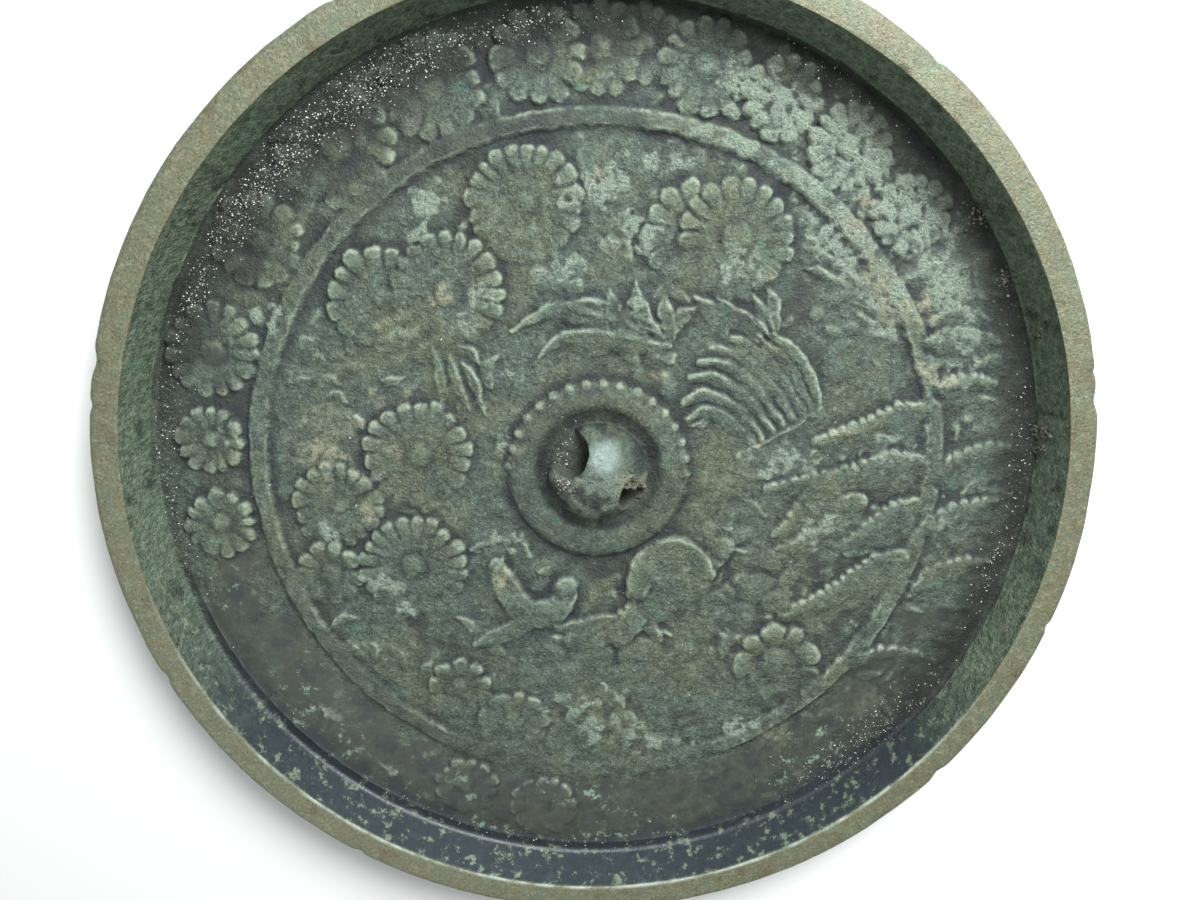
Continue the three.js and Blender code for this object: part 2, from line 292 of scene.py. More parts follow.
# Flowers of the outer band: degrees round, share across, radius as a share of the width, petals.
BAND_FLOWERS = [
    (145, 0.5, 0.5, 14), (162, 0.5, 0.52, 15), (113, 0.5, 0.56, 14), (128, 0.52, 0.66, 14),
    (84, 0.6, 0.4, 12), (90, 0.53, 0.48, 12), (98, 0.5, 0.5, 12), (75.5, 0.5, 0.5, 14),
    (64.5, 0.48, 0.44, 12), (53, 0.46, 0.46, 14), (40, 0.44, 0.44, 12), (175, 0.42, 0.4, 12),
    (188, 0.42, 0.42, 12), (248, 0.42, 0.4, 12), (261, 0.45, 0.42, 12),
]

# Long leaves, thin blades and short arcs of petals: places along each, then the width and rise of its
# crest. The whole leaf is wider and worn lower.
LEAF_SPREAD, LEAF_WEAR = 1.6, 0.85
LEAVES = [
    ([(22, 40), (12, 42), (-2, 46), (-14, 48.5), (-26, 42.5)], 4.2, 0.8),
    ([(22, 42), (10, 46), (0, 49.5), (-7, 50), (-13, 48.5)], 3.6, 0.8),
    ([(21, 38), (12, 38.5), (0, 40.5), (-11, 40), (-18, 34.5)], 4, 0.75),
    ([(14, 41), (8, 43.5), (4.5, 50), (3.5, 54.5)], 3.4, 0.8),
    ([(19, 41), (14.5, 45), (11.5, 51.5), (11, 57.5)], 3.4, 0.85),
    ([(22.5, 40.5), (21, 45), (19.5, 49), (19.2, 53)], 3.2, 0.85),
    ([(22, 42), (24.5, 46.5), (29.5, 49.5)], 3.6, 0.75), ([(38, 41), (34, 47.5), (28.5, 52.5)], 4.2, 0.8),
    ([(51, 40), (46, 43.5), (40, 47), (35, 52.3)], 4.6, 0.9), ([(52, 40), (49, 47), (45.5, 52.5)], 3, 0.85),
    ([(53, 41), (52, 50), (50, 55)], 2.8, 0.8),
    ([(-49, 37.5), (-47.5, 32), (-47, 26), (-47.5, 18.5)], 2.2, 0.6),
    ([(-44, 35), (-42.5, 27), (-38.5, 18.5)], 2.4, 0.7), ([(-40, 33), (-37, 27), (-34, 17)], 2.4, 0.7),
    ([(-59, 41), (-55, 41.5), (-52, 37)], 2.4, 0.55), ([(-43, 37.5), (-38, 36.5), (-35, 32)], 2.4, 0.55),
    ([(-85, 35), (-82.5, 34.5), (-81, 31)], 2, 0.45), ([(-82, 29), (-79.5, 28.5), (-77, 26)], 2, 0.45),
    ([(-81, 23.5), (-78, 23.5), (-75, 21)], 2, 0.45), ([(-65, 28), (-61, 27.6), (-58, 29.5)], 2.4, 0.5),
    ([(99, 45), (108, 46.5), (117, 45)], 4.5, 0.6), ([(99, 37), (108, 38.5), (118, 37.5)], 4.5, 0.6),
    ([(101, 21), (110, 22.5), (120, 21.5)], 4, 0.55), ([(97.5, -37.4), (104.5, -38.8)], 1.6, 0.4),
    ([(97.9, -42.2), (105, -43.3)], 1.6, 0.4), ([(98.3, -46.8), (105, -48)], 1.6, 0.4),
    ([(26.5, -77.6), (32.5, -77.8)], 2, 0.4), ([(26.5, -81.8), (32.5, -82.2)], 2, 0.4),
    ([(26.6, -85.8), (32.6, -86.2)], 2, 0.4), ([(26.8, -90), (32.8, -89.8)], 2, 0.4),
]

# Ridges of the brushwood fence, each from its top down to the boundary line at their feet, with the
# width of its crest. The whole ridge is wider, and there is a groove between two of them.
FENCE_SPREAD, FENCE_RISE = 1.75, 0.66
GROOVE_WIDTH, GROOVE_DEPTH = 0.6, 0.45
FENCE = [
    ([(27, 15.5), (33, 18.3), (40, 15), (45.5, 10.5), (48, 7)], 3),
    ([(25.5, 21), (32, 23.4), (40, 20), (46, 14.5), (50, 9.5)], 3.4),
    ([(28, 28.5), (35, 28.2), (42.5, 24), (48.5, 17.5), (53, 11.5)], 3.4),
    ([(30, 33), (38.5, 32.2), (46, 26.5), (52, 19.5), (56, 14)], 3.4),
    ([(34, 37.3), (42, 35.3), (49.5, 29), (55.5, 21.5), (59, 16)], 3.4),
    ([(40, 40), (47, 37), (54, 29.5), (59.5, 22), (62, 17)], 3.4),
    ([(47, 40.5), (54, 36), (59.5, 28.5), (64, 20), (65.5, 17)], 3.4),
    ([(52, 41), (59, 35), (64, 27), (67, 19)], 3),
]

# Fern fronds in the field and in the band: stalk, tip, width in millimetres, lobes.
FIELD_FERNS = [
    ((98, 17), (68, 8), 5.6, 10), ((98, 1), (54, -7), 6, 14), ((99, -13), (75, -25), 5.4, 9),
    ((80, -11), (57, -28), 5.6, 9), ((95, -30), (60, -49), 5.6, 13), ((73, -3), (56, -22), 4.6, 8),
]
BAND_FERNS = [
    ((-2, 0.02), (3, 0.72), 4.8, 7), ((-11, 0.05), (-5, 0.65), 4.6, 6), ((-21, 0.15), (-14, 0.75), 4.4, 7),
    ((21, 0.02), (18, 0.7), 4, 6), ((13, 0.02), (12.5, 0.6), 3.8, 6), ((-38, 0.02), (-31, 0.6), 3.8, 6),
]

# Where scraps of leaves crowd the ground: radii in millimetres, degrees round, how many.
CLUTTER = [
    (12, 37, -150, -20, 170), (12, 37, 20, 100, 70), (12, 37, 100, 210, 60), (12, 37, -20, 20, 25),
    (41, 49, 15, 110, 110), (41, 49, -70, 15, 50), (41, 49, -130, -70, 45), (41, 49, 110, 160, 50),
]

# Buds, pebbles and rounded leaves: place, length, width and turn, and the rise before wear.
LUMP_WEAR = 0.8
LUMPS = [
    (74, 33, 14, 14, 0, 0.56), (-2, -61, 15, 13, 30, 0.48), (13.5, -62, 15, 13, -10, 0.52),
    (12, -70, 19, 11, -6, 0.52), (16, -76, 13, 8, -15, 0.4), (-9, -69, 14, 10, 20, 0.48),
    (-23, -70, 15, 9, -32, 0.4), (28, -61, 9, 7, -30, 0.4), (31, -69, 14, 9, 20, 0.4),
    (46, -29, 10, 8, 20, 0.48), (55, -30, 9, 8, 0, 0.52), (50, -39, 12, 10, 30, 0.52),
    (57, -44, 10, 8, -20, 0.48), (45, -48, 10, 9, 0, 0.44), (36, -44, 9, 8, 15, 0.4),
    (34, -53, 9, 8, 0, 0.4), (44, -22, 9, 6, 30, 0.4), (-30, -20, 8, 6, 40, 0.4), (-33, -28, 9, 7, 60, 0.4),
    (-31, -37, 8, 7, 0, 0.4), (-32, -12, 8, 6, 20, 0.36),
]

# Pale verdigris crust, and tan to pinkish earth caught in it: place, length, width and turn, strength.
CRUST_SPOTS = [
    (-49, 79, 9, 7, 50, 1), (-51, 71, 6, 6, 0, 0.9), (-83, -20, 9, 4, 110, 0.9), (0, 83, 20, 9, 0, 0.75),
    (10, 72, 14, 10, 0, 0.6), (-10, 60, 12, 8, 20, 0.6), (15, 90, 16, 5, -5, 0.6),
    (36, 96, 20, 7, -25, 0.6), (58, 88, 18, 12, -35, 0.8), (73, 68, 26, 14, -50, 0.95),
    (86, 52, 18, 12, -60, 0.8), (42, 62, 14, 8, 0, 0.5), (-38, 43, 8, 6, 0, 0.6), (-33, 53, 6, 6, 0, 0.6),
    (-28, 5, 7, 10, 0, 0.6), (-60, -48, 9, 8, 0, 0.5), (-70, -35, 12, 9, 0, 0.4), (-30, -25, 9, 12, 0, 0.5),
    (2, -90, 26, 9, 0, 0.42), (20, -95, 14, 8, 10, 0.4), (60, 2, 20, 6, 5, 0.5), (48, -88, 12, 7, 25, 0.6),
    (-5, -78, 20, 8, 0, 0.4), (92, 5, 14, 9, 0, 0.4), (66, -20, 16, 9, 30, 0.4),
    (50, 105, 26, 14, -30, 0.8), (70, 95, 28, 14, -40, 0.9), (88, 78, 26, 14, -50, 0.9),
    (102, 58, 24, 12, -60, 0.8), (110, 38, 20, 12, -75, 0.5), (80, 80, 60, 20, -45, 0.62),
    (30, 112, 20, 8, -15, 0.5), (-95, 47, 8, 6, 0, 0.4), (-112, 15, 10, 6, 70, 0.4),
    (-88, -78, 14, 8, -40, 0.5), (-70, -100, 12, 6, -30, 0.45), (108, -12, 12, 8, 80, 0.4),
    (10, 50, 10, 4, 0, 0.4), (-20, 30, 12, 6, 0, 0.3),
]
EARTH_SPOTS = [
    (82, 57, 12, 9, -55, 1), (88, 47, 8, 8, 0, 0.8), (74, 72, 9, 7, -40, 0.8), (0, 86, 9, 4, 0, 0.7),
    (98, 30, 7, 5, 0, 0.9), (50, 58, 5, 4, 0, 0.5), (92, -78, 14, 6, 32, 1), (58, -92, 8, 6, 0, 0.8),
    (-60, 43, 10, 10, 0, 0.4), (-46, 53, 9, 9, 0, 0.5), (-80, 8, 18, 30, 80, 0.55),
    (-62, 22, 14, 9, 0, 0.5), (-30, -34, 8, 6, 50, 0.6), (19, 29, 3, 3, 0, 0.8), (77, 77, 9, 6, -45, 0.9),
    (97, 48, 10, 6, -60, 0.8), (104, 28, 6, 5, 0, 0.8), (51, 9, 6, 4, 20, 0.5), (73, 12, 6, 3, 0, 0.6),
    (12, -3, 5, 6, 0, 0.5), (-26, 12, 5, 12, 0, 0.5), (-67, -13, 14, 9, 0, 0.4), (76, -6, 5, 4, 0, 0.5),
]
# Bare dark metal skin with a purple cast, where the patina is thin. The three broad spots along the top of
# the band are painted shade, where the rim shades the floor.
BARE_AND_SHADE_SPOTS = [
    (61, 54, 8, 16, -15, 0.9), (-112, -42, 22, 9, 110, 1), (-95, -72, 26, 9, 128, 1),
    (-70, -95, 30, 8, 145, 1), (-30, -117, 34, 9, 165, 0.9), (10, -120, 30, 9, 0, 0.8),
    (45, -108, 26, 9, 20, 0.7), (-112, 20, 20, 8, 80, 0.6), (-100, 62, 24, 8, 58, 0.7),
    (-70, 88, 20, 8, 40, 0.7), (-57, 68, 10, 12, 0, 0.6), (100, -55, 22, 9, 60, 0.7),
    (28, 50, 9, 5, 20, 0.8), (43, 49, 9, 5, -45, 0.8), (6, 49, 6, 9, 0, 0.7), (-57, -52, 14, 8, -50, 0.7),
    (86, -8, 9, 5, 10, 0.6), (70, -34, 14, 6, 30, 0.7), (0, -32, 14, 7, 0, 0.7), (60, -78, 20, 8, 20, 0.6),
    (80, -50, 14, 6, 45, 0.7), (30, -85, 16, 8, 0, 0.5), (-30, 118, 40, 14, 12, 0.7),
    (-66, 102, 34, 14, 33, 0.7), (8, 122, 26, 10, 0, 0.6), (-50, -60, 30, 16, -45, 0.5),
    (0, -82, 46, 14, 0, 0.4), (-40, 74, 7, 12, 0, 0.7), (68, -70, 14, 6, 30, 0.5),
]


def spots(places, ragged, seed):
    """Soft-edged ragged patches on the map, from 0 to 1."""
    sheet = np.zeros((COUNT, COUNT))
    for east, north, length, width, turn, strength in places:
        place = in_field(east, north)
        length, width = in_field(length, width)
        part, x, y = around([place], max(length, width))
        along, across = along_and_across(x - place[0], y - place[1], turn)
        out = np.hypot(along / (length / 2), across / (width / 2))
        sheet[part] = np.maximum(sheet[part], strength * ramp(1.9, 0.3, out))
    torn = 0.6 * grain(0.5, seed) + 0.4 * grain(0.2, seed + 1)
    return ramp(0.3, 0.75, sheet + ragged * torn * (sheet > 0.01))


def seat_form():
    """The rounded band round the knob's moat, with a row of beads on its outer slope."""
    crest, bead_row = 8.75, 9.75
    # Beads and slope are clearest in the upper half
    clear = np.clip(1.25 * ramp(-30, 20, BEARING) * ramp(190, 160, BEARING), 0, 1)
    out = np.abs(REACH - crest) / (SEAT_RADIUS - crest)
    band = SEAT_RISE * dome(out, 3, 0.8) * (1 - 0.3 * clear * ramp(9, 9.6, REACH))
    floor = MOAT_RISE * (REACH < MOAT_RADIUS)
    turn = BEARING / 360 * SEAT_BEADS + 0.3
    across = (turn - np.round(turn)) * 2 * pi * (bead_row + 0.15) / SEAT_BEADS
    out = np.hypot(across / 0.82, (REACH - bead_row) / 1.05)
    beads = (0.15 + clear * 0.6) * dome(out, 2.5)
    trench = 0.22 * hump(REACH - SEAT_RADIUS - 0.45, 0.4)
    seat = np.maximum(np.maximum(band, floor), beads)
    return seat + 0.03 * grain(0.5, 92) * (seat > 0.2), trench


def ring_form():
    """The ring between field and band, flat-topped, uneven and nearly worn away at the bottom."""
    sway = 0.12 * np.sin(np.radians(3 * BEARING + 40)) + 0.08 * np.sin(np.radians(7 * BEARING))
    out = np.abs(REACH - (BAND_START - RING_WIDTH / 2 + sway)) / (RING_WIDTH / 2)
    from_bottom = np.abs((BEARING + 90 + 540) % 360 - 180)
    kept = 0.35 + 0.65 * ramp(18, 42, from_bottom + 10 * (BEARING > -90))
    kept *= 1 + 0.12 * grain(1.6, 91)
    # A groove runs along its outer foot at the lower left, and a fainter one along its inner foot
    low_left = ramp(165, 185, BEARING % 360) * ramp(240, 225, BEARING % 360)
    outside = hump(REACH - BAND_START - 0.3, 0.35) * low_left
    inside = hump(REACH - BAND_START + RING_WIDTH + 0.25, 0.3) * kept
    return 0.66 * RING_RISE * kept * dome(out, 6, 0.7) - 0.3 * outside - 0.14 * inside


def clutter(relief):
    """Worn scraps of leaves and petals that crowd the ground between the main forms."""
    chance = np.random.default_rng(5)
    for low, high, start, end, count in CLUTTER:
        for _ in range(count):
            turn = radians(chance.uniform(start, end))
            reach = chance.uniform(low ** 2, high ** 2) ** 0.5
            place = np.array([reach * cos(turn), reach * sin(turn)])
            lean = chance.uniform(0, pi)
            way = np.array([cos(lean), sin(lean)]) * chance.uniform(0.6, 2)
            if chance.random() < 0.55:
                side = chance.uniform(-0.5, 0.5) * np.array([-way[1], way[0]])
                stroke(relief, [place - way, place + side, place + way], chance.uniform(0.9, 2.4),
                       chance.uniform(0.25, 0.5), blunt=0.5)
            else:
                oval(relief, place, chance.uniform(1.2, 3.6), chance.uniform(0.9, 2.2), degrees(lean),
                     chance.uniform(0.18, 0.4))


def evenly_spread(places, count=9):
    """This many places, evenly spread on the smooth line through the given ones."""
    path = np.array(curve(all_in_field(*places)))
    steps = np.linspace(0, len(path) - 1, count)
    return np.column_stack([np.interp(steps, range(len(path)), part) for part in path.T])


def carve():
    """The whole relief over the field, the band and the seat."""
    relief = np.zeros((COUNT, COUNT))
    clutter(relief)
    for number, (turn, across, share, petals) in enumerate(BAND_FLOWERS):
        flower(relief, in_band(turn, across), share * BAND_WIDTH, petals, seed=60 + number, boss=0.26,
               rise=0.85, fade=0.4)
    ring = ring_form()
    relief = np.where(ring < 0, relief + ring, np.maximum(relief, ring))
    for number, (east, north, size, petals, boss) in enumerate(FIELD_FLOWERS):
        flower(relief, in_field(east, north), size * HUNDREDTH, petals, seed=30 + number, boss=boss)
    for places, width, rise in LEAVES:
        stroke(relief, all_in_field(*places), LEAF_SPREAD * width * HUNDREDTH, LEAF_WEAR * rise, vein=0.15)
    for places, width in FENCE:
        stroke(relief, all_in_field(*places), FENCE_SPREAD * width * HUNDREDTH, FENCE_RISE, blunt=0.4,
               tip=0.5, tilt=0.45)
    ridges = [evenly_spread(places) for places, _ in FENCE]
    for one, other in zip(ridges, ridges[1:]):
        stroke(relief, list((one + other) / 2), GROOVE_WIDTH, GROOVE_DEPTH, blunt=1, tip=1, cut=True)
    # The boundary line at the feet of the ridges
    stroke(relief, all_in_field((46, 6), (56, 11), (68, 19)), 0.5, 0.4, blunt=1, tip=1)
    for locate, ferns in [(in_field, FIELD_FERNS), (in_band, BAND_FERNS)]:
        for stalk, tip, width, lobes in ferns:
            frond(relief, locate(*stalk), locate(*tip), width, lobes)
    for east, north, length, width, turn, rise in LUMPS:
        oval(relief, in_field(east, north), length * HUNDREDTH, width * HUNDREDTH, turn, LUMP_WEAR * rise)
    birds(relief)
    # Wear and corrosion leave the forms uneven: lower in places, their outlines ragged
    relief *= 0.84 + 0.16 * np.clip(grain(1.4, 41), -2, 1.2)
    relief = read_map(relief, EAST + 0.07 * grain(0.4, 42), NORTH + 0.07 * grain(0.4, 43))
    # The bottom of the band and of the field is nearly rubbed flat, with a low step at the wall's foot
    low = np.interp(BEARING % 360, [200, 235, 300, 320], [0, 1, 1, 0])
    relief *= 1 - 0.55 * low * (REACH > BAND_START + 0.2)
    relief *= 1 - 0.35 * ramp(-22, -30, NORTH) * (REACH < FIELD_RADIUS)
    seat, trench = seat_form()
    foot = np.interp(BEARING % 360, [175, 200, 285, 310], [0, 1, 1, 0])
    relief += 0.2 * foot * hump(REACH - WALL_FOOT + 0.9, 0.22)
    return np.maximum(relief - trench, seat)


def birds(relief):
    """Two small birds side by side under the knob, the right one larger and looking up."""
    def draw(places, width, rise, **shape):
        stroke(relief, all_in_field(*places), width, rise, **shape)

    # The left bird: tail, body with its raised wing, head, feathers
    draw([(-39, -57), (-30, -54), (-21, -50)], 2.6, 0.6, blunt=0.5, tip=0.8)
    draw([(-32, -31), (-28, -40), (-22, -47), (-14, -46), (-10, -41)], 4.2, 0.85, blunt=0.5, tip=0.7)
    oval(relief, in_field(-10.5, -38.5), 8.4 * HUNDREDTH, 8 * HUNDREDTH, 40, 0.9)
    for shift in (-2, 0, 2):
        draw([(-24 + shift, -42), (-29 + shift, -34)], 0.3, 0.16, cut=True)
    # The right bird: tail, body, neck, wing over its back, head and beak, feathers
    draw([(17, -41), (11, -49), (7, -57)], 3.8, 0.7, blunt=0.9, tip=0.5)
    oval(relief, in_field(24, -39), 28 * HUNDREDTH, 19 * HUNDREDTH, 42, 0.7)
    draw([(28, -35), (34, -31), (39, -27)], 3.2, 0.85, blunt=0.9, tip=0.8)
    draw([(12, -40), (15, -31), (22, -27), (30, -29), (35, -34)], 4.6, 0.95, blunt=0.6, tip=0.4)
    oval(relief, in_field(39, -25.5), 9 * HUNDREDTH, 8.4 * HUNDREDTH, 30, 0.95)
    draw([(42, -26), (47, -27)], 0.9, 0.7, blunt=0.9, tip=0.3)
    for shift in range(6):
        start = in_field(14 + 3 * shift, -43 + 1.2 * shift)
        stroke(relief, [start, start + in_field(-0.5, 4), start + in_field(1.5, 8)], 0.32, 0.16, cut=True)
    # Crescent and pointed leaves between and below them
    draw([(-14, -56), (-4, -57), (4, -53), (7, -47)], 3, 0.6, blunt=0.4, tip=0.4)
    draw([(-13, -52), (-3, -51.5), (5, -48)], 2.4, 0.5, blunt=0.4, tip=0.3)


def arc(centre, radius, start, end, count):
    """Points on a circle, from one bearing to another in degrees."""
    angles = np.radians(np.linspace(start, end, count + 1))
    return [(centre[0] + radius * cos(a), centre[1] + radius * sin(a)) for a in angles]


def half_section():
    """Radius and height from the middle of the polished face, round the rim, to the top of the knob."""
    outer = MIRROR_RADIUS - SKIN
    top = RIM_TOP - SKIN
    lip_start = LIP_INNER + LIP_INNER_ROUND
    foot = FIELD + MOAT_RISE
    points = [(0, 0)]

    def run_to(end, step):
        """Goes on straight to this end, with points about a step apart."""
        start = points[-1]
        count = max(1, round(hypot(end[0] - start[0], end[1] - start[1]) / step))
        points.extend(tuple(np.add(start, np.subtract(end, start) * (i + 1) / count)) for i in range(count))

    # Face and outer side
    run_to((outer - FACE_EDGE_CHAMFER, 0), 3)
    run_to((outer, FACE_EDGE_CHAMFER), 0.2)
    run_to((outer, top - LIP_ROUND), 0.45)
    # Lip, wall and cove
    points += arc((outer - LIP_ROUND, top - LIP_ROUND), LIP_ROUND, 10, 90, 6)
    run_to((lip_start, top), 0.28)
    points += arc((lip_start, top - LIP_INNER_ROUND), LIP_INNER_ROUND, 120, 180, 2)
    run_to((WALL_FOOT + WALL_COVE, FIELD + WALL_COVE), 0.24)
    points += arc((WALL_FOOT, FIELD + WALL_COVE), WALL_COVE, -15, -90, 5)
    # Band and field, seat and moat: the points are close together for the relief
    run_to((SEAT_RADIUS + 0.3, FIELD), 0.175)
    run_to((MOAT_RADIUS - 0.9, FIELD), 0.14)
    run_to((KNOB_RADIUS, FIELD), 0.2)
    knob = [(KNOB_RADIUS * cos(radians(a)), foot + (KNOB_RISE - MOAT_RISE) * sin(radians(a)))
            for a in np.linspace(0, 90, 25)[1:]]
    return points + knob[:-1] + [(0, FIELD + KNOB_RISE)]


def turned(name, section, steps):
    """A closed form turned about Z from its half section: a grid rolled round the axis."""
    bm = bmesh.new()
    rows = len(section) - 1
    bmesh.ops.create_grid(bm, x_segments=steps, y_segments=rows, size=1)
    piece = mesh_object(bm, name)
    flat = points_of(piece.data) * MM
    turn = pi * (flat[:, 0] + 1)
    row = np.rint((flat[:, 1] + 1) / 2 * rows).astype(int)
    radius, height = np.array(section).T
    set_points(piece.data, np.column_stack([
        radius[row] * np.cos(turn), radius[row] * np.sin(turn), height[row]]))
    bm = bmesh.new()
    bm.from_mesh(piece.data)
    bmesh.ops.remove_doubles(bm, verts=bm.verts[:], dist=1e-7)
    bmesh.ops.recalc_face_normals(bm, faces=bm.faces[:])
    bm.to_mesh(piece.data)
    bm.free()
    return piece


def put(name, data):
    """A new object in the scene with this mesh, lamp or lens."""
    made = bpy.data.objects.new(name, data)
    bpy.context.collection.objects.link(made)
    return made


def mesh_object(bm, name):
    mesh = bpy.data.meshes.new(name)
    bm.to_mesh(mesh)
    bm.free()
    return put(name, mesh)


def apply_modifiers(piece):
    """Makes the piece's modified shape its mesh."""
    shaped = piece.evaluated_get(bpy.context.evaluated_depsgraph_get())
    mesh = bpy.data.meshes.new_from_object(shaped)
    piece.modifiers.clear()
    old, piece.data = piece.data, mesh
    mesh.name = piece.name
    bpy.data.meshes.remove(old)


def points_of(mesh):
    flat = np.empty(3 * len(mesh.vertices))
    mesh.vertices.foreach_get("co", flat)
    return flat.reshape(-1, 3) / MM


def normals_of(mesh):
    flat = np.empty(3 * len(mesh.vertices), dtype=np.float32)
    mesh.vertex_normals.foreach_get("vector", flat)
    return flat.reshape(-1, 3).astype(float)


def set_points(mesh, points):
    mesh.vertices.foreach_set("co", (points * MM).ravel())
    mesh.update()


def smooth(mesh):
    mesh.polygons.foreach_set("use_smooth", np.ones(len(mesh.polygons), dtype=bool))


# The cord hole's radius, and how far along it from the knob's middle
CORD_HOLE = [(3.4, -7), (3.3, -4), (3.1, -2.9), (2.5, -2.2), (1.7, -1.8), (1.3, -0.8), (1.3, 1),
             (1.45, 2.4), (1.8, 3.4), (2.2, 4.6), (2.4, 7)]


def cord_hole():
    """The tool that cuts the hole: level, worn wide open on the left and narrow on the right."""
    tool = turned("cord_hole_tool", [(0, -7), *CORD_HOLE, (0, 7)], 40)
    tool.data.transform(Matrix.Rotation(radians(90), 4, "Y"))
    points = points_of(tool.data)
    # Narrower than high and a little askew, with uneven walls and a flat floor
    points[:, 1] = 0.8 * points[:, 1] - 0.16 * points[:, 0]
    points[:, 2] += 0.12 * np.sin(2.1 * points[:, 0] + 2.7 * points[:, 1])
    points[:, 2] += FIELD + CORD_HOLE_HEIGHT
    points[:, 2] = np.maximum(points[:, 2], FIELD + MOAT_RISE + 0.2 + 0.05 * points[:, 1])
    set_points(tool.data, points)
    tool.data.transform(Matrix.Rotation(radians(CORD_HOLE_TURN), 4, "Z"))
    return tool


def casting(relief):
    """The turned mirror with its relief, nicks and cord hole."""
    piece = turned("mirror_casting", half_section(), TURNING_STEPS)
    points, normals = points_of(piece.data), normals_of(piece.data)
    x, y, z = points.T
    reach = np.hypot(x, y)
    bearing = np.degrees(np.arctan2(y, x))
    # The floor is the field, the band and the seat
    floor = (reach < WALL_FOOT + 0.01) & (reach > KNOB_RADIUS - 0.01) & (z > 1) & (normals[:, 2] > 0)
    # Every surface is a little uneven, in soft waves
    waves = read_map(0.04 * grain(3.2, 1) + 0.03 * grain(1.1, 2), x, y)
    rough = 0.075 * read_map(grain(0.45, 3), x, y)
    lift = read_map(relief, x, y) + waves * ramp(WALL_FOOT, WALL_FOOT - 1, reach)
    points[:, 2] += floor * lift
    # Wall, lip and side get hollows only, so that nothing leaves the solid's box
    above = (z > 0.2) & ~floor
    hollow = np.abs(waves) * 0.8 + 0.02
    # The knob's lower half is rough
    on_knob = reach < KNOB_RADIUS - 0.01
    hollow = np.where(on_knob, 0.6 * waves + rough * ramp(2, -1, y), hollow)
    points -= (above * hollow)[:, None] * normals
    nicks(points, reach, bearing, normals)
    set_points(piece.data, points)
    smooth(piece.data)
    thin = piece.modifiers.new("fewer triangles", "DECIMATE")
    triangles = sum(len(face.vertices) - 2 for face in piece.data.polygons)
    thin.ratio = CASTING_TRIANGLES / triangles
    apply_modifiers(piece)
    tool = cord_hole()
    drill = piece.modifiers.new("cord hole", "BOOLEAN")
    drill.operation = "DIFFERENCE"
    drill.solver = "EXACT"
    drill.object = tool
    apply_modifiers(piece)
    bpy.data.objects.remove(tool)
    smooth(piece.data)
    return piece


# Nicks in the rim's outer edge: degrees round, width and depth in millimetres.
NICKS = [
    (166, 2.2, 0.5), (171, 1.2, 0.3), (9, 2, 0.4), (12.5, 1, 0.25), (52, 1.4, 0.3), (205, 1.6, 0.3),
    (238, 1.2, 0.25), (318, 1.8, 0.35), (341, 1, 0.3), (118, 1.3, 0.3), (88, 1.6, 0.3), (275, 1.3, 0.3),
]


def nicks(points, reach, bearing, normals):
    """Presses small dents into the outer edge of the lip."""
    for turn, width, depth in NICKS:
        along = np.radians((bearing - turn + 540) % 360 - 180) * MIRROR_RADIUS / (width / 2)
        inward = (reach - MIRROR_RADIUS) / 0.9
        down = (points[:, 2] - RIM_TOP) / 1.1
        dent = depth * np.exp(-(along ** 2 + inward ** 2 + down ** 2)) * (points[:, 2] > 2)
        points -= dent[:, None] * normals


# How far the grime and painted corner shade reach in from the wall: degrees round, millimetres.
CORNER_GRIME_AND_SHADE = [
    (0, 4), (20, 3.8), (45, 4), (75, 3.6), (90, 4.2), (105, 5), (118, 6), (145, 6), (165, 3.6), (185, 2.6),
    (215, 1.4), (270, 1.4), (300, 2.6), (330, 4.4), (360, 4),
]

# Places on the knob, in millimetres: the middle of the highlight painted on its top, and the mouth of the
# hole that holds earth
CROWN_HIGHLIGHT = (0.6, 2.3)
EARTHY_MOUTH = (3.6, -1.3)


